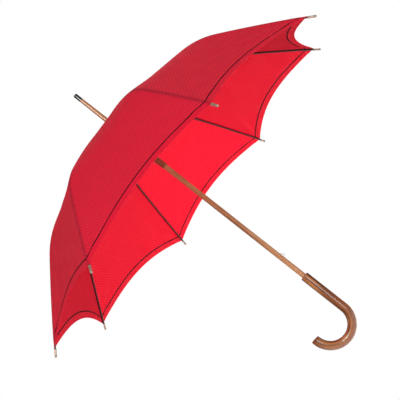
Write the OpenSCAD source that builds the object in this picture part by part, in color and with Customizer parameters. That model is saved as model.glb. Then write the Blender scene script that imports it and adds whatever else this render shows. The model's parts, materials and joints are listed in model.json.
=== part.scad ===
// Stick umbrella: wooden stick with a hooked handle, eight steel ribs and a domed fabric canopy.
// Millimetres. The stick is the Z axis, the canopy is up, the origin is the middle of the straight grip.
// The hook bends towards -X. The umbrella is drawn open.

/* [Stick] */
// Diameter of the wooden stick
stick_d = 13; // [10:0.5:15]
// Bare stick between the handle and the closed runner
bare_stick = 63.1; // [50:0.1:120]
// Length of the stick above the apex, metal cap included
ferrule_len = 107; // [70:1:130]
// How much thinner the stick is just above the apex
ferrule_step = 1; // [0.6:0.1:2]
// How much the stick tapers from there to the metal cap
ferrule_taper = 1.6; // [0:0.1:2]

/* [Ferrule cap] */
// How much wider the metal cap is than the stick's end
cap_step = 0.4; // [0.2:0.1:1]
// Length of the metal cap
cap_len = 22; // [15:1:30]
// Wall of the metal cap
cap_wall = 1; // [0.6:0.1:1.5]

/* [Handle] */
// Diameter of the handle
handle_d = 22.5; // [20:0.5:26]
// Length of the straight grip
grip_len = 118; // [90:1:140]
// Radius of the hook, on its centre line
hook_r = 52; // [40:1:60]
// Angle that the hook turns through
hook_turn = 184; // [150:1:200]
// Depth of the socket that takes the stick
socket_depth = 48; // [30:1:80]
// Chamfer around the handle's two ends
handle_chamfer = 1.2; // [0.5:0.1:2]

/* [Ribs] */
// Slope of a rib at its hinge, below level
rib_slope = 10.7; // [6:0.1:14]
// Radius of a rib's gentle bend from the crown hinge to the stretcher's rivet
inner_r = 1770; // [1200:10:3000]
// How far this bend goes on past the rivet
past_rivet = 8; // [7:1:40]
// Radius where a rib bends most
bend_r = 218; // [190:1:320]
// Length of this stretch
bend_len = 90; // [60:1:110]
// Radius of the outer stretch's bend
outer_r = 4600; // [1800:100:9000]
// Length of the outer stretch, rib tip included
outer_len = 239; // [200:1:280]
// Diameter of a rib
rib_d = 3.2; // [2.8:0.1:3.6]
// Slope of a folded rib's chord below level
closed_slope = 88.5; // [86:0.1:89]
// Length of a rib tip
tip_len = 19; // [15:0.5:24]
// Wall of a rib tip's sleeve
tip_wall = 0.8; // [0.6:0.1:1.2]
// How much wider a rib tip's ball is than its sleeve
tip_ball_step = 1; // [0.4:0.1:1.6]

/* [Stretchers] */
// Length of a stretcher, which is also the distance from a crown hinge to the stretcher's rivet
stretcher_len = 262; // [225:1:290]
// Diameter of a stretcher
stretcher_d = 3; // [2.4:0.1:3.4]
// Thickness of the flat tongue on a stretcher and on a rib
tongue_t = 2; // [1.6:0.1:2.4]
// Diameter of a rivet
rivet_d = 1.8; // [1.4:0.1:2]

/* [Crown notch and runner] */
// Distance from the stick's surface to the rings on which the ribs and the stretchers hinge
hinge_out = 3.9; // [3.7:0.1:5]
// Depth of the crown hinges under the fabric's apex
hinge_depth = 8; // [7:0.5:10]
// Diameter of the ring wires
wire_d = 1.2; // [1:0.1:1.4]
// Distance from the hinge rings to the rim of the slotted flanges
flange_rim = 2.2; // [1.9:0.1:3.5]
// Height of the crown notch
notch_h = 7; // [6:0.5:9]
// Height of the runner's flange
runner_flange_h = 10; // [8:0.5:12]
// Length of the runner's tube below its hinge ring
runner_tube_len = 45; // [44:1:60]
// Wall of the runner's tube
runner_wall = 0.92; // [0.7:0.02:1.5]

/* [Catches] */
// How far the bottom catch's nose lies inside the closed runner's lower end
bottom_catch_inset = 5; // [3.5:0.5:8]
// How far the top catch's nose lies below the open runner's flange
top_catch_gap = 12.5; // [4:0.5:14]
// Length of a catch from pivot to nose
catch_len = 15.5; // [14:0.5:16]
// How far a catch's nose stands out from the stick
catch_proud = 5.3; // [4:0.1:6]
// Width of a catch's strip
catch_w = 1.8; // [1.4:0.1:2]

/* [Canopy] */
// Thickness of the fabric solid
cloth_t = 0.5; // [0.4:0.1:0.8]
// How far the hem curves in at mid-gore, as a share of the fabric's length
hem_rise = 0.072; // [0.04:0.001:0.1]
// Distance from the crown notch's rim to the start of the fabric
cloth_start = 1.6; // [1.2:0.1:4]
// How far the rosette laps over the fabric
rosette_lap = 3.8; // [2:0.1:10]
// Thickness of the rosette
rosette_t = 0.8; // [0.5:0.1:1.2]

/* [Fits] */
// Radial clearance of a running fit
run_gap = 0.08; // [0.03:0.01:0.1]
// Radial clearance of a fixed fit
fixed_gap = 0.05; // [0.02:0.01:0.1]
// Gap between pieces that pass each other
pass_gap = 0.3; // [0.25:0.05:0.4]

/* [Hidden] */
RIBS = 8;
$fn = 48;

EPS = 0.01;
// Core that joins the straight grip to the hook
HANDLE_CORE = 4;
// Step between a fork's cheeks and the web that joins them
WEB_INSET = 0.15;
// Core that joins two arcs of a rib, and half the scored line round the joint
CORE_STEP = 1;
CORE_LEN = 2;
CORE_GAP = 0.06;
stick_r = stick_d / 2;
ferrule_base_d = stick_d - ferrule_step;
ferrule_top_d = ferrule_base_d - ferrule_taper;
cap_d = ferrule_top_d + cap_step;
tip_d = rib_d + 4 * fixed_gap + 2 * tip_wall;
tip_ball_d = tip_d + tip_ball_step;
hinge_r = stick_r + hinge_out;
flange_r = hinge_r + flange_rim;
runner_tube_d = stick_d + 2 * (run_gap + runner_wall);
cloth_start_r = flange_r + cloth_start;
rosette_r = cloth_start_r + rosette_lap;
handle_r = handle_d / 2;
grip_top = grip_len / 2;
grip_bottom = -grip_len / 2;

// Rib: three arcs in the (radius, height) plane, each tangent to the next. Slopes are measured below level,
// and s is the length along the rib from its hinge.
rivet_turn = 2 * asin(stretcher_len / (2 * inner_r));
rivet_s = rivet_turn * inner_r * PI / 180;
ARC_R = [inner_r, bend_r, outer_r];
ARC_LEN = [rivet_s + past_rivet, bend_len, outer_len];
rib_len = ARC_LEN[0] + ARC_LEN[1] + ARC_LEN[2];
function across(slope) = [sin(slope), cos(slope)];
function turn(i, len) = len / ARC_R[i] * 180 / PI;
function arc_s(i) = i == 0 ? 0 : arc_s(i - 1) + ARC_LEN[i - 1];
function arc_slope(i) = i == 0 ? rib_slope : arc_slope(i - 1) + turn(i - 1, ARC_LEN[i - 1]);
function arc_centre(i) = (i == 0 ? [0, 0] : arc_centre(i - 1) + ARC_R[i - 1] * across(arc_slope(i)))
    - ARC_R[i] * across(arc_slope(i));
function arc_of(s) = s < arc_s(1) ? 0 : s < arc_s(2) ? 1 : 2;
function slope_at(s) = let (i = arc_of(s)) arc_slope(i) + turn(i, s - arc_s(i));
function from_hinge(s, up = 0) = let (i = arc_of(s)) arc_centre(i) + (ARC_R[i] + up) * across(slope_at(s));

// Fold: the triangle of crown hinge, rivet and runner hinge has two equal sides. The closed runner's height
// above the handle sets the height of the crown.
rib_end = from_hinge(rib_len);
fold_angle = closed_slope - atan2(-rib_end[1], rib_end[0]);
slope_rivet = rib_slope + rivet_turn;
open_slope = rib_slope + rivet_turn / 2;
closed_z = grip_top + bare_stick + runner_tube_len;
hinge_z = closed_z + 2 * stretcher_len * sin(open_slope + fold_angle);
crown_z = hinge_z + hinge_depth;
runner_z = hinge_z - 2 * stretcher_len * sin(open_slope);
function rib_point(s, up = 0) = [hinge_r, hinge_z] + from_hinge(s, up);
rivet_at = rib_point(rivet_s);
cloth_end_s = rib_len - tip_len;

// Eyes, tongues and slots
eye_r = wire_d / 2 + 1.3;
eye_bore_r = wire_d / 2 + 0.1;
hook_bore_r = wire_d / 2 + pass_gap;
slot_w = tongue_t + 2 * pass_gap;
slot_floor_r = hinge_r - eye_r - pass_gap;
rib_tongue_len = 8;
stretcher_tongue_len = 26;
tongue_h = 2.6;

// Rib and stretcher joint
boss_r = 2.3;
rib_boss_w = rib_d;
cheek_t = 0.9;
cheek_in = rib_boss_w / 2 + pass_gap;
cheek_out = cheek_in + cheek_t;
fork_len = 13;
fork_web = 3;
rivet_head_t = 0.7;
rivet_head_r = rivet_d / 2 + 0.8;

// Catches: pivot inside the stick, nose outside, and a steep leg back into the stick
catch_strip = 0.9;
catch_pivot_x = 2.2;
catch_pin_r = 0.75;
catch_slot_w = catch_w + 2 * pass_gap;
catch_slot_floor = -4.2;
catch_nose_x = stick_r + catch_proud - catch_strip / 2;
catch_leg_x = stick_r - 2.2;
catch_tail = 3.2;
top_catch_z = runner_z - runner_flange_h / 2 - top_catch_gap - catch_len;
bottom_catch_drop = runner_tube_len - bottom_catch_inset - catch_len;
bottom_catch_z = closed_z - bottom_catch_drop;
window_margin = 2;

stop_pin_r = 1;
stop_pin_z = runner_z + runner_flange_h / 2 + stop_pin_r + pass_gap;
stop_pin_len = stick_d + 4;

notch_up = 1.8;
notch_low = hinge_z + notch_up - notch_h;
notch_pin_z = hinge_z - notch_h / 4;
cap_base_z = crown_z + ferrule_len - cap_len;
cap_round = 2.2;
rosette_rise = 4;
rosette_flat = 2;

// The fabric passes over the heads of the rivets, where it slopes down on both sides of the rib.
half_gore = 180 / RIBS;
rivet_reach = cheek_out + rivet_head_t + pass_gap;
cloth_under = boss_r + pass_gap + rivet_reach * tan(half_gore) * tan(slope_rivet);
rosette_z = rib_point((rosette_r - hinge_r) / cos(rib_slope), cloth_under + cloth_t)[1] + pass_gap;
cloth_gap = 0.5;
cloth_rows = 18;
cloth_cols = 6;

function rib_angle(k) = 180 / RIBS + (k - 1) * 360 / RIBS - 45;

// Turns a child drawn in the XY plane, as radius and height, into the upright plane of a rib.
module upright(k) {
    rotate([0, 0, rib_angle(k)]) rotate([90, 0, 0]) children();
}

// A straight strip of width w from p to q with round ends
module strip(p, q, w) {
    d = q - p;
    translate(p) rotate(atan2(d[1], d[0])) translate([0, -w / 2]) square([norm(d), w]);
    translate(p) circle(d = w);
    translate(q) circle(d = w);
}

// A plate of thickness t, centred on the plane
module plate(t) {
    translate([0, 0, -t / 2]) linear_extrude(t) children();
}

// A rod along arc i of the rib, from s = from to s = to
module arc_rod(i, from, to, d) {
    end_slope = arc_slope(i) + turn(i, to - arc_s(i));
    translate([hinge_r, hinge_z, 0] + lift(arc_centre(i))) rotate([0, 0, 90 - end_slope])
        rotate_extrude(angle = turn(i, to - from), $fn = 96)
            translate([ARC_R[i], 0]) circle(d = d, $fn = 32);
}

// Core that joins two arcs of the rib
module arc_core(i) {
    translate(lift(rib_point(arc_s(i)))) rotate([0, 0, -arc_slope(i)]) rotate([0, 90, 0])
        cylinder(d = rib_d - CORE_STEP, h = CORE_LEN, center = true, $fn = 32);
}

// Points p in the XY plane, moved along the third axis
function lift(p, z = 0) = [p[0], p[1], z];

// Slots for eight tongues, open above, below and outside
module tongue_slots(low, high) {
    for (k = [1 : RIBS])
        rotate([0, 0, rib_angle(k)]) translate([slot_floor_r, -slot_w / 2, low - 1])
            cube([flange_r, slot_w, high - low + 2]);
}

module ring_wire(z, r) {
    translate([0, 0, z]) rotate_extrude($fn = 96) translate([hinge_r, 0]) circle(r = r, $fn = 24);
}

// Slot in the stick that a catch folds into, from z = low to z = high, on the +X side
module catch_slot(low, high) {
    translate([catch_slot_floor, -catch_slot_w / 2, low])
        cube([stick_r - catch_slot_floor + 1, catch_slot_w, high - low]);
}

module shaft() {
    stub_r = cap_d / 2 - cap_wall - fixed_gap;
    base = grip_top - socket_depth + EPS;
    color("peru") difference() {
        union() {
            translate([0, 0, base]) cylinder(r = stick_r, h = crown_z - base);
            translate([0, 0, crown_z - EPS])
                cylinder(r1 = ferrule_base_d / 2, r2 = ferrule_top_d / 2, h = cap_base_z - crown_z + EPS);
            translate([0, 0, cap_base_z - EPS]) cylinder(r = stub_r, h = cap_len - cap_wall - 1);
        }
        catch_slot(bottom_catch_z - catch_len - catch_tail, bottom_catch_z + catch_tail);
        mirror([1, 0, 0]) catch_slot(top_catch_z - catch_tail, top_catch_z + catch_len + catch_tail);
        for (z = [bottom_catch_z, -top_catch_z])
            translate([sign(z) * catch_pivot_x, 0, abs(z)]) rotate([90, 0, 0])
                cylinder(r = catch_pin_r, h = stick_d, center = true, $fn = 24);
        translate([0, 0, stop_pin_z]) rotate([90, 0, 0])
            cylinder(r = stop_pin_r, h = stick_d + 2, center = true);
        translate([0, 0, notch_pin_z]) rotate([0, 90, 0])
            cylinder(r = stop_pin_r, h = stick_d + 2, center = true);
    }
}

module handle() {
    straight = grip_len - handle_chamfer;
    color("sienna") difference() {
        union() {
            translate([0, 0, grip_bottom]) cylinder(r = handle_r, h = straight);
            translate([0, 0, grip_top - handle_chamfer])
                cylinder(r1 = handle_r, r2 = handle_r - handle_chamfer, h = handle_chamfer);
            translate([0, 0, grip_bottom - HANDLE_CORE])
                cylinder(r = handle_r - HANDLE_CORE, h = 2 * HANDLE_CORE);
            translate([-hook_r, 0, grip_bottom]) rotate([90, 0, 0]) rotate([0, 0, -hook_turn]) {
                rotate_extrude(angle = hook_turn, $fn = 96)
                    translate([hook_r, 0]) circle(r = handle_r, $fn = 48);
                translate([hook_r, 0, 0]) rotate([90, 0, 0])
                    cylinder(r1 = handle_r, r2 = handle_r - handle_chamfer, h = handle_chamfer);
            }
        }
        translate([0, 0, grip_top - socket_depth]) cylinder(r = stick_r + fixed_gap, h = socket_depth + 1);
    }
}

module ferrule_cap() {
    r = cap_d / 2;
    color("dimgray") translate([0, 0, cap_base_z]) difference() {
        rotate_extrude() {
            square([r, cap_len - cap_round]);
            translate([0, cap_len - cap_round - EPS]) square([r - cap_round, cap_round + EPS]);
            translate([r - cap_round, cap_len - cap_round]) intersection() {
                circle(r = cap_round);
                square(cap_round);
            }
        }
        translate([0, 0, -1]) cylinder(r = r - cap_wall, h = cap_len - cap_wall);
    }
}

module crown_notch() {
    color("silver") difference() {
        translate([0, 0, notch_low]) cylinder(r = flange_r, h = notch_h);
        translate([0, 0, notch_low - 1]) cylinder(r = stick_r + fixed_gap, h = notch_h + 2);
        tongue_slots(notch_low, notch_low + notch_h);
        ring_wire(hinge_z, wire_d / 2);
        translate([0, 0, notch_pin_z]) rotate([0, 90, 0])
            cylinder(r = stop_pin_r, h = 3 * flange_r, center = true);
    }
}

module notch_wire() {
    color("dimgray") ring_wire(hinge_z, wire_d / 2);
}

module notch_pin() {
    color("silver") translate([0, 0, notch_pin_z]) rotate([0, 90, 0])
        cylinder(r = stop_pin_r, h = 2 * slot_floor_r - 0.4, center = true);
}

module rosette() {
    inner = stick_r + pass_gap;
    color("crimson") translate([0, 0, rosette_z]) rotate_extrude()
        polygon([[inner, rosette_rise], [rosette_r, 0], [rosette_r, rosette_t],
                 [inner + rosette_flat, rosette_rise + rosette_t], [inner, rosette_rise + rosette_t]]);
}

module runner_stop() {
    color("silver") translate([0, 0, stop_pin_z]) rotate([90, 0, 0])
        cylinder(r = stop_pin_r, h = stop_pin_len, center = true);
}

module catch_pin(x, z) {
    color("silver") translate([x, 0, z]) rotate([90, 0, 0])
        cylinder(r = catch_pin_r, h = stick_d - 2.4, center = true, $fn = 24);
}

module top_catch_pin() { catch_pin(-catch_pivot_x, top_catch_z); }

module bottom_catch_pin() { catch_pin(catch_pivot_x, bottom_catch_z); }

// A catch with its pivot at the origin: the strip rises to the nose at -Z and drops back into the stick.
module catch_strip() {
    pivot = [0, 0];
    shoulder = [stick_r - catch_pivot_x - 0.4, -4];
    nose = [catch_nose_x - catch_pivot_x, -catch_len + 2.5];
    toe = [catch_nose_x - catch_pivot_x - 0.6, -catch_len];
    leg = [catch_leg_x - catch_pivot_x, -catch_len + 0.6];
    rotate([90, 0, 0]) plate(catch_w) difference() {
        union() {
            circle(r = catch_pin_r + 1);
            strip(pivot, shoulder, catch_strip);
            strip(shoulder, nose, catch_strip);
            strip(nose, toe, catch_strip);
            strip(toe, leg, catch_strip);
        }
        circle(r = catch_pin_r + run_gap, $fn = 24);
    }
}

module top_catch() {
    color("silver") translate([-catch_pivot_x, 0, top_catch_z])
        mirror([1, 0, 0]) mirror([0, 0, 1]) catch_strip();
}

module bottom_catch() {
    color("silver") translate([catch_pivot_x, 0, bottom_catch_z]) catch_strip();
}

// Window in the runner's tube for a catch, on the +X side
module catch_window(low, high) {
    translate([0, -catch_slot_w / 2, low]) cube([flange_r, catch_slot_w, high - low]);
}

module runner() {
    top = runner_z + runner_flange_h / 2;
    bottom = runner_z - runner_tube_len;
    color("saddlebrown") difference() {
        union() {
            translate([0, 0, top - runner_flange_h]) cylinder(r = flange_r, h = runner_flange_h);
            translate([0, 0, bottom]) cylinder(d = runner_tube_d, h = runner_tube_len);
        }
        translate([0, 0, bottom - 1])
            cylinder(r = stick_r + run_gap, h = runner_tube_len + runner_flange_h);
        difference() {
            tongue_slots(top - runner_flange_h, top);
            translate([0, 0, bottom]) cylinder(d = runner_tube_d, h = runner_tube_len + runner_flange_h);
        }
        ring_wire(runner_z, wire_d / 2);
        catch_window(runner_z - bottom_catch_drop - catch_len - window_margin,
                     runner_z - bottom_catch_drop + window_margin);
        mirror([1, 0, 0])
            catch_window(top_catch_z - window_margin, top_catch_z + catch_len + window_margin);
    }
}

module runner_wire() {
    color("dimgray") ring_wire(runner_z, wire_d / 2);
}

module rib(k) {
    eye = [hinge_r, hinge_z];
    tongue_end = rib_point(rib_tongue_len + 2);
    rod_end = cloth_end_s + tip_len / 2;
    color("darkslategray") upright(k) difference() {
        union() {
            plate(tongue_t) {
                translate(eye) circle(r = eye_r);
                strip(eye, tongue_end, tongue_h);
            }
            arc_rod(0, rib_tongue_len, arc_s(1) - CORE_GAP, rib_d);
            arc_rod(1, arc_s(1) + CORE_GAP, arc_s(2) - CORE_GAP, rib_d);
            arc_rod(2, arc_s(2) + CORE_GAP, rod_end, rib_d);
            for (i = [1, 2]) arc_core(i);
            translate(lift(rivet_at)) cylinder(r = boss_r, h = rib_boss_w, center = true);
        }
        translate(lift(eye)) cylinder(r = eye_bore_r, h = 2 * rib_d, center = true, $fn = 32);
        translate(lift(rivet_at)) cylinder(r = rivet_d / 2, h = 2 * rib_d, center = true, $fn = 32);
    }
}

// Sleeve with a ball end, drawn along X from the fabric's corner
module rib_tip(k) {
    at = rib_point(cloth_end_s);
    socket = tip_len / 2 + 0.6;
    collar_w = 1.6;
    color("tan") upright(k) translate(lift(at)) rotate([0, 0, -slope_at(cloth_end_s)]) rotate([0, 90, 0])
        difference() {
            union() {
                cylinder(d = tip_d, h = tip_len - tip_ball_d);
                cylinder(d = tip_ball_d, h = collar_w);
                translate([0, 0, tip_len - tip_ball_d - EPS])
                    cylinder(d1 = tip_d, d2 = tip_d * 0.72, h = tip_ball_d / 2);
                translate([0, 0, tip_len - tip_ball_d / 2]) sphere(d = tip_ball_d);
            }
            translate([0, 0, -1]) cylinder(r = rib_d / 2 + 2 * fixed_gap, h = socket + 1);
        }
}

module rivet(k) {
    color("silver") upright(k) translate(lift(rivet_at)) {
        cylinder(d = rivet_d, h = 2 * cheek_out + 0.2, center = true, $fn = 32);
        for (side = [0, 1]) mirror([0, 0, side]) translate([0, 0, cheek_out + 0.1])
            cylinder(r1 = rivet_head_r, r2 = rivet_head_r - 0.4, h = rivet_head_t, $fn = 32);
    }
}

// Open-sided hook at a stretcher's inner end, which cups the runner's wire at both ends of the fold
module wire_hook() {
    mouth = fold_angle + 62;
    mouth_mid = 90 + fold_angle / 2;
    reach = 3 * eye_r;
    difference() {
        circle(r = eye_r);
        circle(r = hook_bore_r, $fn = 24);
        polygon(concat([[0, 0]], [for (i = [-2 : 2]) reach * [cos(mouth_mid + i * mouth / 4),
                                                              sin(mouth_mid + i * mouth / 4)]]));
    }
}

module stretcher(k) {
    inner = [hinge_r, runner_z];
    away = [cos(open_slope), sin(open_slope)];
    rod_start = inner + (stretcher_tongue_len - 2) * away;
    rod_len = stretcher_len - stretcher_tongue_len + 2 - fork_len - fork_web / 2;
    web_at = inner + (stretcher_len - fork_len) * away;
    color("darkslategray") upright(k) {
        plate(tongue_t) {
            translate(inner) wire_hook();
            strip(inner + (eye_r + tongue_h / 2 - 0.5) * away, rod_start + 2 * away, tongue_h);
        }
        translate(lift(rod_start)) rotate([0, 0, open_slope]) rotate([0, 90, 0])
            cylinder(d = stretcher_d, h = rod_len, $fn = 32);
        translate(lift(web_at)) rotate([0, 0, open_slope]) translate([-fork_web / 2, 0, 0])
            cube([fork_web, tongue_h, 2 * cheek_out] - 2 * WEB_INSET * [1, 1, 1], center = true);
        for (side = [-1, 1]) difference() {
            translate([0, 0, side * (cheek_in + cheek_t / 2)]) plate(cheek_t) {
                strip(web_at - (fork_web - tongue_h / 2) * away, rivet_at, tongue_h);
                translate(rivet_at) circle(r = boss_r);
            }
            translate(lift(rivet_at))
                cylinder(r = rivet_d / 2 + run_gap, h = 4 * cheek_out, center = true, $fn = 32);
        }
    }
}

// Fabric: gore panels are straight across from rib to rib, and the hem curves in between the ribs.
function hem_share(t) = 1 - hem_rise * (1 - pow(abs(2 * t - 1), 2));
cloth_start_s = (cloth_start_r - hinge_r - cloth_under * sin(rib_slope)) / cos(rib_slope);
function cloth_s(u, t) = cloth_start_s + u * hem_share(t) * (cloth_end_s - cloth_start_s);
function on_rib(k, s, up) =
    let (p = rib_point(s, up), a = rib_angle(k)) [p[0] * cos(a), p[0] * sin(a), p[1]];
// w runs from -1 to 1 across one rib's share of the fabric, from mid-gore to mid-gore
function cloth_point(k, u, w, up) =
    let (t = abs(w) / 2, s = cloth_s(u, t), a = on_rib(k, s, up), b = on_rib(k + sign(w), s, up))
    (1 - t) * a + t * b;
function cloth_grid(k, up) = [for (i = [0 : cloth_rows], j = [-cloth_cols : cloth_cols])
    let (u = i / cloth_rows, share = 1 - cloth_gap / (cloth_start_r + u * rib_end[0]))
    cloth_point(k, u, j / cloth_cols * share, up)];

module canopy(k) {
    n = 2 * cloth_cols + 1;
    m = cloth_rows + 1;
    half = n * m;
    points = concat(cloth_grid(k, cloth_under), cloth_grid(k, cloth_under + cloth_t));
    rim = concat([for (j = [0 : n - 2]) j], [for (i = [0 : m - 2]) i * n + n - 1],
                 [for (j = [n - 1 : -1 : 1]) (m - 1) * n + j], [for (i = [m - 1 : -1 : 1]) i * n]);
    quads = [for (i = [0 : m - 2], j = [0 : n - 2]) let (a = i * n + j) [a, a + 1, a + n + 1, a + n]];
    under = [for (q = quads, tri = [[q[0], q[2], q[1]], [q[0], q[3], q[2]]]) tri];
    over = [for (q = quads, tri = [[q[0], q[1], q[2]], [q[0], q[2], q[3]]]) [for (v = tri) v + half]];
    edge = [for (i = [0 : len(rim) - 1]) let (a = rim[i], b = rim[(i + 1) % len(rim)])
        each [[a, b, b + half], [a, b + half, a + half]]];
    color("crimson") polyhedron(points, concat([for (f = under) [f[2], f[1], f[0]]],
                                               [for (f = over) [f[2], f[1], f[0]]],
                                               [for (f = edge) [f[2], f[1], f[0]]]));
}

shaft();
handle();
ferrule_cap();
crown_notch();
notch_wire();
notch_pin();
rosette();
runner_stop();
top_catch_pin();
bottom_catch_pin();
runner();
runner_wire();
top_catch();
bottom_catch();
for (k = [1 : RIBS]) rib(k);
for (k = [1 : RIBS]) rib_tip(k);
for (k = [1 : RIBS]) rivet(k);
for (k = [1 : RIBS]) stretcher(k);
for (k = [1 : RIBS]) canopy(k);
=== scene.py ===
import json
import math

import bpy
import numpy as np
from mathutils import Matrix, Vector


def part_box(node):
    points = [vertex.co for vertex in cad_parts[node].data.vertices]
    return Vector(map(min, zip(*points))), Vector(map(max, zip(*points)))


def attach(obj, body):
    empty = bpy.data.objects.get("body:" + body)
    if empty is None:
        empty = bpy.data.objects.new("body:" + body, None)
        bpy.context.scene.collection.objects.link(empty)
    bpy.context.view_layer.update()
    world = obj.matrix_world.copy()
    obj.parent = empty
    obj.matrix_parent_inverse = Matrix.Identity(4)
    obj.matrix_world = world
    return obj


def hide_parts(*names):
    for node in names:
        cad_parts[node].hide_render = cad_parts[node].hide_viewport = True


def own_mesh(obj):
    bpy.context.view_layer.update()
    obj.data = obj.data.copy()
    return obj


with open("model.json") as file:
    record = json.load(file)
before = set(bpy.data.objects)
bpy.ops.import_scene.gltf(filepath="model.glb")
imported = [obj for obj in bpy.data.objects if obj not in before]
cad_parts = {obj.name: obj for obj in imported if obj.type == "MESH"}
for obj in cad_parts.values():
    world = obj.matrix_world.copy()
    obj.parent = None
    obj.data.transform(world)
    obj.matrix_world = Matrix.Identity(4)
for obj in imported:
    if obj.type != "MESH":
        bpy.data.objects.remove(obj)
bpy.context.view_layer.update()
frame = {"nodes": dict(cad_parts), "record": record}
RECORD = frame["record"]
NODES = frame["nodes"]
scene = bpy.context.scene
JOINTS = {j["name"]: j for j in RECORD["behaviour"]["joints"]}

RIBS = 8
HALF_GORE = math.pi / RIBS

# ---------------------------------------------------------------- camera, lights, world
CAMERA_AT = (0.19909, -1.95498, 0.10814)
CAMERA_RIGHT = (0.60490, 0.17005, -0.77793)
CAMERA_UP = (0.78917, 0.00246, 0.61417)
CAMERA_BACK = (0.10636, -0.98544, -0.13271)
LENS = 72.75


def make_camera():
    data = bpy.data.cameras.new("camera")
    data.lens = LENS
    data.sensor_width = 36
    data.clip_end = 50
    camera = bpy.data.objects.new("camera", data)
    scene.collection.objects.link(camera)
    axes = Matrix((CAMERA_RIGHT, CAMERA_UP, CAMERA_BACK)).transposed()
    camera.matrix_world = Matrix.Translation(CAMERA_AT) @ axes.to_4x4()
    scene.camera = camera


def area_light(name, at, target, size, power, colour=(1, 1, 1), glossy=True):
    data = bpy.data.lights.new(name, "AREA")
    data.shape = "DISK"
    data.size = size
    data.energy = power
    data.color = colour
    light = bpy.data.objects.new(name, data)
    scene.collection.objects.link(light)
    light.location = at
    light.rotation_euler = (Vector(target) - Vector(at)).to_track_quat("-Z", "Y").to_euler()
    light.visible_camera = False
    light.visible_glossy = glossy


def make_world(seen=1.0, lit=0.12):
    """White behind the object, and a dimmer even light on it."""
    world = bpy.data.worlds.new("studio")
    scene.world = world
    world.use_nodes = True
    tree = world.node_tree
    tree.nodes.clear()
    out = tree.nodes.new("ShaderNodeOutputWorld")
    paths = tree.nodes.new("ShaderNodeLightPath")
    strength = tree.nodes.new("ShaderNodeMapRange")
    strength.inputs["To Min"].default_value = lit
    strength.inputs["To Max"].default_value = seen
    back = tree.nodes.new("ShaderNodeBackground")
    back.inputs["Color"].default_value = (1, 1, 1, 1)
    tree.links.new(paths.outputs["Is Camera Ray"], strength.inputs["Value"])
    tree.links.new(strength.outputs["Result"], back.inputs["Strength"])
    tree.links.new(back.outputs[0], out.inputs["Surface"])


make_camera()
make_world()
scene.view_settings.view_transform = "Standard"
# The back, glow and side lights shine through the cloth from outside, and are kept out of reflections.
area_light("light_back", (-0.9, 2.6, 1.2), (0, 0.1, 0.5), 1.3, 108, (1, 0.97, 0.96), False)
area_light("light_front", (-0.5, -3.0, 1.9), (0, 0, 0.5), 1.2, 82)
area_light("light_stick", (1.0, -2.4, -0.1), (0, 0, 0.2), 0.7, 16)
area_light("light_glow", (0.05, 1.5, 0.62), (0, 0.2, 0.45), 0.7, 30, (1, 0.97, 0.96), False)
area_light("light_side", (2.4, 0.9, 0.9), (0.1, 0.1, 0.5), 1.2, 26, (1, 0.97, 0.96), False)


# ---------------------------------------------------------------- materials
class Shade:
    """Builds one material's nodes. A value that is passed as a socket is linked, and any other value is set."""

    def __init__(self, name):
        self.material = bpy.data.materials.new(name)
        self.material.use_nodes = True
        self.tree = self.material.node_tree
        self.tree.nodes.clear()

    def put(self, socket, value):
        if isinstance(value, bpy.types.NodeSocket):
            self.tree.links.new(value, socket)
        elif hasattr(value, "__len__") and len(value) == 3 and socket.type == "RGBA":
            socket.default_value = (*value, 1)
        else:
            socket.default_value = value

    def add(self, kind, inputs=(), **settings):
        node = self.tree.nodes.new("ShaderNode" + kind)
        for key, value in settings.items():
            setattr(node, key, value)
        for key, value in dict(inputs).items():
            self.put(node.inputs[key], value)
        return node

    def math(self, operation, *values, clamp=False):
        node = self.add("Math", operation=operation, use_clamp=clamp)
        for socket, value in zip(node.inputs, values):
            self.put(socket, value)
        return node.outputs[0]

    def mix(self, share, a, b, how="MIX"):
        node = self.add("Mix", data_type="RGBA", blend_type=how)
        self.put(node.inputs["Factor"], share)
        self.put(node.inputs[6], a)
        self.put(node.inputs[7], b)
        return node.outputs[2]

    def ramp(self, value, low, high, to_low=0.0, to_high=1.0):
        """A smooth step from to_low at low to to_high at high."""
        node = self.add("MapRange", interpolation_type="SMOOTHSTEP")
        for socket, number in zip(node.inputs, (value, low, high, to_low, to_high)):
            self.put(socket, number)
        return node.outputs[0]

    def noise(self, vector, scale, detail=2.0, rough=0.5, distortion=0.0):
        node = self.add("TexNoise", {"Vector": vector, "Scale": scale, "Detail": detail,
                                     "Roughness": rough, "Distortion": distortion})
        return node.outputs[0]

    def join(self, x, y, z):
        return self.add("CombineXYZ", {"X": x, "Y": y, "Z": z}).outputs[0]

    def apart(self, vector):
        return self.add("SeparateXYZ", {"Vector": vector}).outputs

    def bump(self, height, distance, strength=1.0, normal=None):
        node = self.add("Bump", {"Height": height, "Distance": distance, "Strength": strength})
        if normal is not None:
            self.put(node.inputs["Normal"], normal)
        return node.outputs[0]

    def surface(self, **inputs):
        """The Principled shader, by the names of its sockets with _ for a space."""
        shader = self.add("BsdfPrincipled")
        for key, value in inputs.items():
            self.put(shader.inputs[key.replace("_", " ")], value)
        return shader.outputs[0]

    def finish(self, shader):
        out = self.add("OutputMaterial")
        self.tree.links.new(shader, out.inputs["Surface"])
        return self.material


# Distances on the cloth, in metres: the stripe's from the hem, and the seam's from the middle of the rib
STRIPE_AT = 0.0185
STRIPE_HALF = 0.0017
DOT_PITCH = 0.010
THREAD_PITCH = 0.0011
STITCH_PITCH = 0.0032
STITCH_AT = 0.0035
FOLD_EDGE = (0.0002, 0.0012)
# how far from the rib the inside carries painted shade and lets less light through
PAINTED_SHADE_AND_BLOCK_EDGE = (0.0012, 0.0034)
ALLOWANCE_EDGE = (0.0052, 0.0066)
SEAM_PUCKER_WIDTH = 0.022
HEM_PUCKER_WIDTH = 0.014


def tint(colour, red, green, blue):
    """The colour with each channel scaled."""
    return colour[0] * red, colour[1] * green, colour[2] * blue


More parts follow.
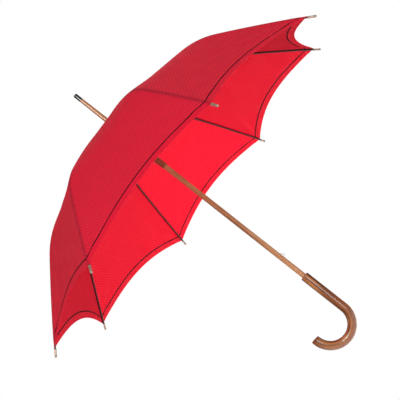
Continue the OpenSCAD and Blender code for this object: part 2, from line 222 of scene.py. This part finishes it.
def fabric(name, field, border, stripe, dot, glow, share, sheen, inside):
    """Woven cloth with small staggered dots, a plain border and a stripe along the hem.

    share is the part of the light that goes through it, and glow is its colour.
    """
    s = Shade(name)
    uv = s.add("UVMap", uv_map="UVMap").outputs[0]
    across, along, _ = s.apart(uv)
    hem = s.add("Attribute", attribute_name="hem").outputs["Fac"]
    seam = s.add("Attribute", attribute_name="seam").outputs["Fac"]

    def waves(value, pitch, phase=0.0):
        return s.math("COSINE", s.math("MULTIPLY_ADD", value, 2 * math.pi / pitch, phase))

    dots = s.math("MULTIPLY", waves(across, DOT_PITCH), waves(along, DOT_PITCH))
    dots = s.ramp(dots, 0.15, 0.75)
    cloth = s.noise(s.join(across, along, 0.0), 26.0, 3.0, 0.55)
    slub = s.noise(s.join(s.math("MULTIPLY", across, 14.0), along, 0.3), 60.0, 2.0)
    in_border = s.ramp(hem, STRIPE_AT - 0.001, STRIPE_AT + 0.001, 1.0, 0.0)
    in_field = s.math("SUBTRACT", 1.0, in_border)
    in_stripe = s.ramp(s.math("ABSOLUTE", s.math("SUBTRACT", hem, STRIPE_AT)),
                       STRIPE_HALF * 0.75, STRIPE_HALF * 1.25, 1.0, 0.0)
    # stitches beside the seam over each rib, and the seam's own fold
    stitch = s.ramp(waves(along, STITCH_PITCH), -0.2, 0.4)
    beside = s.ramp(s.math("ABSOLUTE", s.math("SUBTRACT", seam, STITCH_AT)), 0.0003, 0.0007, 1.0, 0.0)
    stitches = s.math("MULTIPLY", stitch, beside)
    fold = s.ramp(seam, *FOLD_EDGE, 1.0, 0.0)

    colour = s.mix(s.math("MULTIPLY", s.math("MULTIPLY", dots, in_field), 0.85), field, dot)
    colour = s.mix(s.ramp(cloth, 0.35, 0.7, 0.0, 0.16), colour, tint(field, 0.7, 1.0, 0.8))
    colour = s.mix(s.ramp(slub, 0.45, 0.75, 0.0, 0.10), colour, tint(field, 1.15, 2.0, 1.6))
    colour = s.mix(in_border, colour, border)
    colour = s.mix(s.math("MULTIPLY", stitches, 0.55), colour, dot)
    colour = s.mix(s.math("MULTIPLY", fold, 0.35), colour, dot)
    colour = s.mix(in_stripe, colour, stripe)

    weave = s.math("ADD", waves(across, THREAD_PITCH), waves(along, THREAD_PITCH, 1.2))
    # puckers that run out from the seam and in from the hem
    pucker = s.math("MULTIPLY", s.noise(s.join(0.0, along, seam), 190.0, 1.0),
                    s.ramp(seam, 0.001, SEAM_PUCKER_WIDTH, 1.0, 0.0))
    hem_pucker = s.math("MULTIPLY", s.noise(s.join(across, s.math("MULTIPLY", along, 0.15), 0.0), 150.0, 1.0),
                        s.ramp(hem, 0.0, HEM_PUCKER_WIDTH, 1.0, 0.0))
    height = s.math("ADD", s.math("MULTIPLY", weave, 0.035), s.math("MULTIPLY", dots, 0.08))
    height = s.math("ADD", height, s.math("MULTIPLY", pucker, 1.2))
    height = s.math("ADD", height, s.math("MULTIPLY", hem_pucker, 0.8))
    height = s.math("SUBTRACT", height, s.math("MULTIPLY", fold, 0.5))
    height = s.math("SUBTRACT", height, s.math("MULTIPLY", stitches, 0.35))
    normal = s.bump(height, 0.0006, 0.8)

    through = s.mix(s.math("MULTIPLY", s.math("MULTIPLY", dots, in_field), 0.7), glow, tint(glow, 0.8, 0.25, 0.3))
    if inside:
        # painted shade: the inside's colour is darkened beside the rib, where the rib's shadow falls; the rib and the
        # seam's layers also keep the light out there
        painted_shade_and_seam_block = s.ramp(seam, *PAINTED_SHADE_AND_BLOCK_EDGE, 1.0, 0.0)
        allowance = s.ramp(seam, *ALLOWANCE_EDGE, 1.0, 0.0)
        colour = s.mix(s.math("MULTIPLY", painted_shade_and_seam_block, 0.9), colour, stripe)
        through = s.mix(s.math("MULTIPLY", allowance, 0.45), through, tint(glow, 0.6, 0.2, 0.2))
        through = s.mix(painted_shade_and_seam_block, through, stripe)
    else:
        through = s.mix(s.math("MULTIPLY", in_border, 0.5), through, tint(glow, 0.5, 0.3, 0.3))
    through = s.mix(in_stripe, through, tint(stripe, 0.5, 0.5, 0.5))
    skin = s.surface(Base_Color=colour, Roughness=s.ramp(cloth, 0.3, 0.7, 0.46, 0.6), Normal=normal,
                     Sheen_Weight=s.math("MULTIPLY", s.math("SUBTRACT", 1.0, in_stripe), sheen),
                     Sheen_Roughness=0.35, Sheen_Tint=(1.0, 0.75, 0.78), Specular_IOR_Level=0.22)
    thin = s.add("BsdfTranslucent", {"Color": through, "Normal": normal}).outputs[0]
    both = s.add("MixShader", {"Fac": share})
    s.tree.links.new(skin, both.inputs[1])
    s.tree.links.new(thin, both.inputs[2])
    return s.finish(both.outputs[0])


def wood(name, base, light, dark, pore, bend=None, ring_scale=95.0, coat=0.6, rough=0.34):
    """Varnished wood with its grain along the stick. With bend = (x, z, radius) it follows the hook's curve."""
    s = Shade(name)
    x, y, z = s.apart(s.add("TexCoord").outputs["Object"])
    if bend:
        bend_x, bend_z, radius = bend
        dx, dz = s.math("SUBTRACT", x, bend_x), s.math("SUBTRACT", z, bend_z)
        out = s.math("SUBTRACT", s.math("SQRT", s.math("ADD", s.math("MULTIPLY", dx, dx),
                                                         s.math("MULTIPLY", dz, dz))), radius)
        turn = s.math("ARCTAN2", s.math("MULTIPLY", dz, -1.0), dx)
        turn = s.math("ADD", turn, s.math("MULTIPLY", s.math("LESS_THAN", turn, -0.6), 2 * math.pi))
        below = s.math("LESS_THAN", z, bend_z)
        x = s.add("Mix", {0: below, 2: x, 3: out}).outputs[0]
        z = s.add("Mix", {0: below, 2: z, 3: s.math("MULTIPLY_ADD", turn, -radius, bend_z)}).outputs[0]
    grain = s.join(x, y, s.math("MULTIPLY", z, 0.045))
    streaks = s.noise(grain, 170.0, 3.0, 0.5, 0.4)
    bands = s.noise(grain, ring_scale, 2.0, 0.5, 1.2)
    long_mottle = s.noise(s.join(x, y, s.math("MULTIPLY", z, 0.5)), 38.0, 2.0)
    pores = s.ramp(s.noise(s.join(x, y, s.math("MULTIPLY", z, 0.05)), 700.0, 1.0), 0.64, 0.76)
    wear = s.noise(s.join(x, y, z), 160.0, 3.0, 0.6)
    colour = s.mix(s.ramp(bands, 0.42, 0.60), base, light)
    colour = s.mix(s.ramp(streaks, 0.42, 0.68, 0.0, 0.75), colour, dark)
    colour = s.mix(s.ramp(long_mottle, 0.4, 0.75, 0.0, 0.35), colour, dark)
    colour = s.mix(s.math("MULTIPLY", pores, 0.6), colour, pore)
    height = s.math("SUBTRACT", s.math("MULTIPLY", streaks, 0.5), s.math("MULTIPLY", pores, 0.4))
    return s.finish(s.surface(
        Base_Color=colour, Roughness=s.ramp(wear, 0.35, 0.7, rough - 0.06, rough + 0.12),
        Normal=s.bump(height, 0.00006, 0.2), Coat_Weight=coat, Coat_Roughness=0.15, Specular_IOR_Level=0.5))


def metal(name, base, worn, metallic, rough, wear_share=0.35, brush=0.0, coat=0.0):
    """Metal with fine scratches, mottling and worn edges."""
    s = Shade(name)
    place = s.add("TexCoord").outputs["Object"]
    x, y, z = s.apart(place)
    mottle = s.noise(place, 240.0, 4.0, 0.6)
    rub = s.noise(place, 900.0, 3.0, 0.7)
    lines = s.noise(s.join(s.math("MULTIPLY", x, 0.2), y, s.math("MULTIPLY", z, 0.05)), 2600.0, 2.0)
    edge = s.ramp(s.add("NewGeometry").outputs["Pointiness"], 0.52, 0.60)
    worn_here = s.math("MULTIPLY", s.math("MAXIMUM", edge, s.ramp(mottle, 0.62, 0.75)),
                       s.ramp(rub, 0.35, 0.6, 0.2, 1.0))
    colour = s.mix(s.math("MULTIPLY", worn_here, wear_share), base, worn)
    colour = s.mix(s.ramp(rub, 0.4, 0.7, 0.0, 0.25), colour, tuple(c * 0.6 for c in base))
    height = s.math("ADD", s.math("MULTIPLY", lines, 0.3 + brush), s.math("MULTIPLY", rub, 0.2))
    return s.finish(s.surface(
        Base_Color=colour, Metallic=metallic, Roughness=s.ramp(mottle, 0.3, 0.7, rough - 0.07, rough + 0.1),
        Normal=s.bump(height, 0.00012, 0.5), Coat_Weight=coat, Coat_Roughness=0.2))


HOOK_CENTRE = RECORD["mounts"][2]["pos_m"][0]
GRIP_BOTTOM = -RECORD["mounts"][0]["dims"]["length_mm"] / 2000 - 0.0006
cloth_out = fabric(
    "canopy_outside", field=(0.62, 0.017, 0.046), border=(0.72, 0.010, 0.040), stripe=(0.006, 0.002, 0.003),
    dot=(0.40, 0.006, 0.026), glow=(1.0, 0.05, 0.13), share=0.34, sheen=0.10, inside=False)
cloth_in = fabric(
    "canopy_inside", field=(0.64, 0.006, 0.036), border=(0.66, 0.014, 0.044), stripe=(0.05, 0.003, 0.006),
    dot=(0.40, 0.003, 0.018), glow=(1.0, 0.10, 0.22), share=0.55, sheen=0.05, inside=True)
MATERIALS = {
    "stick_wood": wood("stick_wood", (0.52, 0.235, 0.095), (0.62, 0.33, 0.155), (0.36, 0.145, 0.056),
                       (0.16, 0.070, 0.032), coat=0.5, rough=0.33),
    "handle_wood": wood("handle_wood", (0.21, 0.062, 0.018), (0.50, 0.20, 0.065), (0.05, 0.014, 0.006),
                        (0.035, 0.010, 0.006), bend=(HOOK_CENTRE, GRIP_BOTTOM, -HOOK_CENTRE), ring_scale=120.0,
                        coat=0.45, rough=0.36),
    "dark_metal": metal("dark_metal", (0.035, 0.032, 0.030), (0.30, 0.28, 0.26), 0.85, 0.32, wear_share=0.5),
    "steel": metal("steel", (0.46, 0.45, 0.44), (0.70, 0.69, 0.68), 1.0, 0.30, wear_share=0.4, brush=0.3),
    "runner_metal": metal("runner_metal", (0.26, 0.115, 0.048), (0.42, 0.24, 0.13), 0.25, 0.33,
                          wear_share=0.5, coat=0.4),
    "rib_steel": metal("rib_steel", (0.009, 0.007, 0.007), (0.14, 0.12, 0.11), 0.2, 0.42, wear_share=0.4, coat=0.12),
    "tip_metal": metal("tip_metal", (0.40, 0.29, 0.21), (0.56, 0.45, 0.35), 0.55, 0.42, wear_share=0.5, brush=0.1),
}

for part in RECORD["subparts"]:
    if part["material_slot"] in MATERIALS:
        mesh = NODES[part["node"]].data
        mesh.materials.clear()
        mesh.materials.append(MATERIALS[part["material_slot"]])


# ---------------------------------------------------------------- canopy
# The rib's three arcs, as in the CAD
INNER_R = 1.770
PAST_RIVET = 0.008
BEND_R = 0.218
BEND_LEN = 0.090
OUTER_R = 4.6
OUTER_LEN = 0.239
RIB_SLOPE = math.radians(10.7)
TIP_LEN = 0.019
# The cloth's height over the rib's centre line, its thickness, its hem, and how far it is pulled in between ribs
CLOTH_UP = 0.0033
CLOTH_THICK = 0.0004
HEM_THICK = 0.0009
HEM_FOLD = 0.007
HEM_RISE = 0.072
SEAM_ROUND = 0.0026
SAG = 0.026
CLOTH_START_R = 0.0142
ROWS = 66
COLUMNS = 18
# Rows gather towards the hem and columns towards the seam.
ROW_EASE = 0.82
COLUMN_EASE = 1.45
CORNER_DROP = 0.0007
CREASE_RISE = 0.0011
CREASE_REACH = 0.075
CREASES = 9.0
UNEVEN_RISE = 0.0005
UV_START = 0.02


def flat_place(point):
    """Radius and height of a point."""
    return math.hypot(point[0], point[1]), point[2]


def rib_angle(k):
    x, y, _ = JOINTS[f"rib_{k}_fold"]["pos_m"]
    return math.atan2(y, x)


HINGE = flat_place(JOINTS["rib_1_fold"]["pos_m"])
RIVET = flat_place(JOINTS["stretcher_1_fold"]["pos_m"])

# The rib's curve: three arcs, each tangent to the next, with the slope measured below level.
RIVET_CHORD = math.dist(HINGE, RIVET)
INNER_TURN = 2 * math.asin(RIVET_CHORD / (2 * INNER_R))
ARC_R = (INNER_R, BEND_R, OUTER_R)
ARC_LEN = (INNER_TURN * INNER_R + PAST_RIVET, BEND_LEN, OUTER_LEN)
RIB_LEN = sum(ARC_LEN)
CLOTH_END = RIB_LEN - TIP_LEN
CLOTH_START = (CLOTH_START_R - HINGE[0] - CLOTH_UP * math.sin(RIB_SLOPE)) / math.cos(RIB_SLOPE)


def rib_curve(s, up=0.0):
    """Radius, height and slope at length s along a rib, up above its centre line."""
    s = np.asarray(s, float)
    at, slope, start = np.array(HINGE), RIB_SLOPE, 0.0
    radius, height, slopes = np.zeros_like(s), np.zeros_like(s), np.zeros_like(s)
    for arc, length in zip(ARC_R, ARC_LEN):
        centre = at - arc * np.array((math.sin(slope), math.cos(slope)))
        here = s >= start
        turned = slope + (s - start) / arc
        radius = np.where(here, centre[0] + (arc + up) * np.sin(turned), radius)
        height = np.where(here, centre[1] + (arc + up) * np.cos(turned), height)
        slopes = np.where(here, turned, slopes)
        slope, start = slope + length / arc, start + length
        at = centre + arc * np.array((math.sin(slope), math.cos(slope)))
    return radius, height, slopes


def hem_share(across):
    """Share of the rib's cloth length at which the hem lies, for across 0 at the rib to 1 at mid-gore."""
    return 1 - HEM_RISE * (1 - (1 - across) ** 2)


def smooth(value, low, high):
    t = np.clip((value - low) / (high - low), 0, 1)
    return t * t * (3 - 2 * t)


def canopy_points(layer):
    """One rib's share of the cloth, for a rib along +X: its points by row and column, their distances from the hem
    and the seam, and their places on the flat gore."""
    u = np.linspace(0, 1, ROWS) ** ROW_EASE
    side = np.linspace(-1, 1, 2 * COLUMNS + 1)
    across = np.abs(side) ** COLUMN_EASE
    u, across, sign = u[:, None], across[None, :], np.sign(side)[None, :]
    share = hem_share(across)
    s_rib = CLOTH_START + u * share * (CLOTH_END - CLOTH_START)
    hem = (1 - u) * share * (CLOTH_END - CLOTH_START)
    up = CLOTH_UP - CORNER_DROP * smooth(hem, 0.03, 0.0) * smooth(across, 0.12, 0.0)
    radius, height, slope = rib_curve(s_rib, up)
    lean = math.tan(HALF_GORE)
    middle = lean * (radius + lean * SEAM_ROUND) / (1 + lean**2)
    x = across * middle
    rounded = np.sqrt(x**2 + SEAM_ROUND**2) - SEAM_ROUND
    inwards = radius - lean * rounded
    # outward normal of the gore that this half belongs to
    rise = math.cos(HALF_GORE) * np.cos(slope)
    run = np.sin(slope) + 0 * across
    length = np.hypot(rise, run)
    turn = sign * HALF_GORE
    normal = np.stack([run / length * np.cos(turn), run / length * np.sin(turn), rise / length + 0 * turn], -1)
    at_seam = np.stack([np.sin(slope) + 0 * turn, 0 * slope + 0 * turn, np.cos(slope) + 0 * turn], -1)
    blend = smooth(x, 0.0, 2 * SEAM_ROUND)[..., None]
    normal = normal * blend + at_seam * (1 - blend)
    normal /= np.linalg.norm(normal, axis=-1, keepdims=True)
    # tension: the cloth is pulled in between the ribs, and creases run out from each rib tip
    s = np.clip(rounded / (middle - SEAM_ROUND * 0.5), 0, 1)
    sag = SAG * middle * (1 - (1 - s) ** 2) * (0.55 + 0.45 * smooth(u, 0.0, 0.5))
    reach = np.hypot(x, hem)
    bearing = np.arctan2(x, hem + 0.004)
    creases = CREASE_RISE * np.cos(bearing * CREASES - 0.7) * smooth(bearing, 0.06, 0.35) * smooth(bearing, 1.5, 1.25)
    creases = creases * smooth(reach, 0.004, 0.03) * np.exp(-((reach / CREASE_REACH) ** 1.5))
    uneven = UNEVEN_RISE * np.sin(31 * s_rib + 3 * across) * smooth(x, 0.0, 0.05) * smooth(s, 1.0, 0.8)
    thick = CLOTH_THICK + (HEM_THICK - CLOTH_THICK) * smooth(hem, HEM_FOLD, HEM_FOLD - 0.002)
    off = -sag + creases + uneven + (thick / 2 if layer else -thick / 2)
    points = np.stack([inwards, sign * x, height + 0 * x], -1) + normal * off[..., None]
    gore_x = (middle - x) / math.cos(HALF_GORE)
    along = s_rib + UV_START
    return points, hem, x, gore_x, along


def make_canopy(k):
    """The share of the cloth that lies over rib k, as an outer and an inner layer joined round the rim."""
    rows, columns = ROWS, 2 * COLUMNS + 1
    top, hem, seam, gore_x, along = canopy_points(1)
    low = canopy_points(0)[0]
    turn = rib_angle(k)
    spin = np.array([[math.cos(turn), -math.sin(turn), 0], [math.sin(turn), math.cos(turn), 0], [0, 0, 1]])
    points = np.concatenate([top.reshape(-1, 3), low.reshape(-1, 3)]) @ spin.T
    size = rows * columns
    faces, sides, kinds = [], [], []
    for i in range(rows - 1):
        for j in range(columns - 1):
            a, b = i * columns + j, (i + 1) * columns + j
            side = 1 if j >= COLUMNS else -1
            faces += [(a, b, b + 1, a + 1), (a + size, a + 1 + size, b + 1 + size, b + size)]
            sides += [side, side]
            kinds += [0, 1]
    rim = [(i * columns, (i + 1) * columns) for i in range(rows - 1)]
    rim += [((rows - 1) * columns + j, (rows - 1) * columns + j + 1) for j in range(columns - 1)]
    rim += [((i + 1) * columns + columns - 1, i * columns + columns - 1) for i in range(rows - 1)]
    rim += [(j + 1, j) for j in range(columns - 1)]
    for a, b in rim:
        faces.append((b, a, a + size, b + size))
        sides.append(1 if (a % columns) + (b % columns) >= 2 * COLUMNS else -1)
        kinds.append(0)
    mesh = bpy.data.meshes.new(f"cloth_{k}")
    mesh.from_pydata(points.tolist(), [], faces)
    mesh.materials.append(cloth_out)
    mesh.materials.append(cloth_in)
    mesh.polygons.foreach_set("material_index", kinds)
    mesh.polygons.foreach_set("use_smooth", [True] * len(faces))
    for name, values in (("hem", hem), ("seam", seam)):
        layer = mesh.attributes.new(name, "FLOAT", "POINT")
        layer.data.foreach_set("value", np.tile((values + 0 * seam).ravel(), 2).astype(np.float32))
    gore_x, along = (gore_x + 0 * seam).ravel(), (along + 0 * seam).ravel()
    uv = mesh.uv_layers.new(name="UVMap")
    where = np.empty(len(mesh.loops), int)
    mesh.loops.foreach_get("vertex_index", where)
    counts = np.array([len(f) for f in faces])
    side = np.repeat(np.array(sides), counts)
    flat = np.stack([-side * gore_x[where % size], along[where % size]], -1)
    uv.data.foreach_set("uv", flat.astype(np.float32).ravel())
    hard = mesh.attributes.new("sharp_edge", "BOOLEAN", "EDGE")
    edge_rim = {tuple(sorted(e)) for e in rim} | {tuple(sorted((a + size, b + size))) for a, b in rim}
    hard.data.foreach_set("value", [tuple(sorted(e.vertices)) in edge_rim for e in mesh.edges])
    cloth = bpy.data.objects.new(f"cloth_{k}", mesh)
    scene.collection.objects.link(cloth)
    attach(cloth, f"rib_{k}")
    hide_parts(f"canopy_{k}")
    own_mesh(cloth)


for k in range(1, RIBS + 1):
    make_canopy(k)


ROSETTE_BORE = 0.0066
ROSETTE_RINGS = 9
ROSETTE_SPOKES = 96
ROSETTE_THICK = 0.0006
PLEATS = 16
PLEAT_RISE = 0.00045
SCALLOPS = 8
SCALLOP_SHARE = 0.012


def make_rosette():
    """Small round of the same cloth, gathered round the stick over the crown."""
    low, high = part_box("rosette")
    outer = (high[0] - low[0]) / 2
    inner, rings, spokes = ROSETTE_BORE, ROSETTE_RINGS, ROSETTE_SPOKES
    points, hems = [], []
    for layer in (1, 0):
        for i in range(rings):
            t = i / (rings - 1)
            for j in range(spokes):
                a = 2 * math.pi * j / spokes
                pleat = math.cos(PLEATS * a) * (PLEAT_RISE * math.sin(math.pi * min(1, 1.25 * t)) + 0.00012 * t)
                r = inner + (outer - inner) * t * (1 + SCALLOP_SHARE * math.cos(SCALLOPS * a) * t) * 0.985
                z = high[2] - 0.0009 - (high[2] - low[2] - 0.0014) * t**1.3 + pleat
                points.append((r * math.cos(a), r * math.sin(a), z + ROSETTE_THICK * layer))
                hems.append((1 - t) * (outer - inner) + 0.03)
    size = rings * spokes
    faces = []
    for i in range(rings - 1):
        for j in range(spokes):
            a, b = i * spokes + j, i * spokes + (j + 1) % spokes
            faces += [(a, a + spokes, b + spokes, b), (a + size, b + size, b + spokes + size, a + spokes + size)]
    for j in range(spokes):
        a, b = j, (j + 1) % spokes
        c, d = a + (rings - 1) * spokes, b + (rings - 1) * spokes
        faces += [(a, b, b + size, a + size), (d, c, c + size, d + size)]
    mesh = bpy.data.meshes.new("rosette_cloth")
    mesh.from_pydata(points, [], faces)
    mesh.materials.append(cloth_out)
    mesh.polygons.foreach_set("use_smooth", [True] * len(faces))
    for name, values in (("hem", hems), ("seam", [0.02] * len(points))):
        layer = mesh.attributes.new(name, "FLOAT", "POINT")
        layer.data.foreach_set("value", values)
    uv = mesh.uv_layers.new(name="UVMap")
    for loop in mesh.loops:
        x, y, _ = points[loop.vertex_index]
        uv.data[loop.index].uv = (x, y)
    rosette = bpy.data.objects.new("rosette_cloth", mesh)
    scene.collection.objects.link(rosette)
    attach(rosette, "stick")
    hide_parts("rosette")


make_rosette()


# ---------------------------------------------------------------- floor
def make_floor(z=-1.0, radius=2.6, edge=96):
    mesh = bpy.data.meshes.new("floor")
    ring = [(radius * math.cos(2 * math.pi * i / edge), radius * math.sin(2 * math.pi * i / edge), z)
            for i in range(edge)]
    mesh.from_pydata(ring, [], [tuple(range(edge))])
    s = Shade("floor")
    paper = s.noise(s.add("TexCoord").outputs["Object"], 60.0, 2.0)
    mesh.materials.append(s.finish(s.surface(
        Base_Color=s.mix(s.ramp(paper, 0.3, 0.7, 0.0, 0.02), (0.95, 0.95, 0.95), (0.9, 0.9, 0.9)),
        Roughness=0.9, Emission_Color=(1, 1, 1), Emission_Strength=0.35)))
    floor = bpy.data.objects.new("floor", mesh)
    scene.collection.objects.link(floor)


make_floor()
